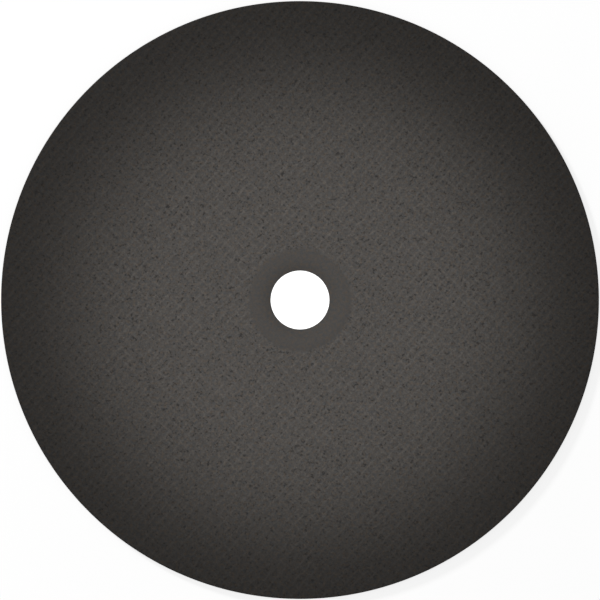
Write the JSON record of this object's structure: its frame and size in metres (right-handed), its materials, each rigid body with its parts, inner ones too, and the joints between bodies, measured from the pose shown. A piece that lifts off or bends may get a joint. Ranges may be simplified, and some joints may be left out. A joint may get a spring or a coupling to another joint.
{
  "type": "abrasive cut-off wheel",
  "caption": "Flat dark grey reinforced abrasive cut-off wheel with a glass-mesh imprint on both faces and a plain round centre bore.",
  "frame": {"origin": "centre of the bore in the plane of the lower face", "axes": "+Z along the bore axis out of the upper face; +X to the picture's right; +Y to the picture's top"},
  "size_m": [0.406, 0.406, 0.004],
  "materials": {
    "bonded_abrasive": "matte"
  },
  "bodies": {
    "root": {"abrasive_disc": "bonded_abrasive"}
  },
  "joints": []
}
